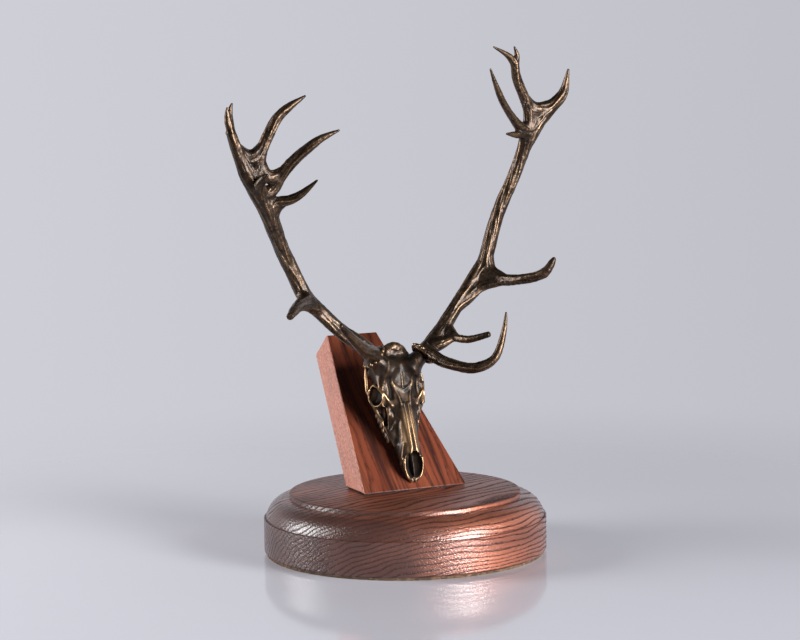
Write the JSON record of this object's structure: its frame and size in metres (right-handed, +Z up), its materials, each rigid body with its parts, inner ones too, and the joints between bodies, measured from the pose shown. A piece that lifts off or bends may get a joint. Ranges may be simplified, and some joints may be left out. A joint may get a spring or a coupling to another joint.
{
  "type": "stag skull trophy",
  "caption": "Small bronze stag skull with branching antlers, bolted to a leaning wooden plaque on a round turned wooden base; a desk ornament that stands on a cork pad.",
  "frame": {"origin": "centre of the underside of the cork pad, on the surface that the trophy stands on", "axes": "+Z up, the skull looks towards -Y, +X to the right as seen from the front; left and right in node names are as seen from the front"},
  "size_m": [0.1491, 0.1167, 0.1954],
  "materials": {
    "bronze": "dark brown patina, rubbed bright along raised edges",
    "red_wood": "satin, red-brown with dark streaks along the slope",
    "dark_wood": "satin, dark stained, open grain",
    "cork": "matte, granular",
    "pin_brass": "plain drawn",
    "steel": "zinc plated"
  },
  "bodies": {
    "root": {"round_base": "dark_wood", "base_pad": "cork", "plaque": "red_wood", "skull": "bronze", "left_antler": "bronze", "right_antler": "bronze", "left_antler_pin": "pin_brass", "right_antler_pin": "pin_brass", "skull_stud": "steel", "stud_washer": "steel", "stud_nut": "steel", "plaque_screws": "steel"}
  },
  "joints": []
}
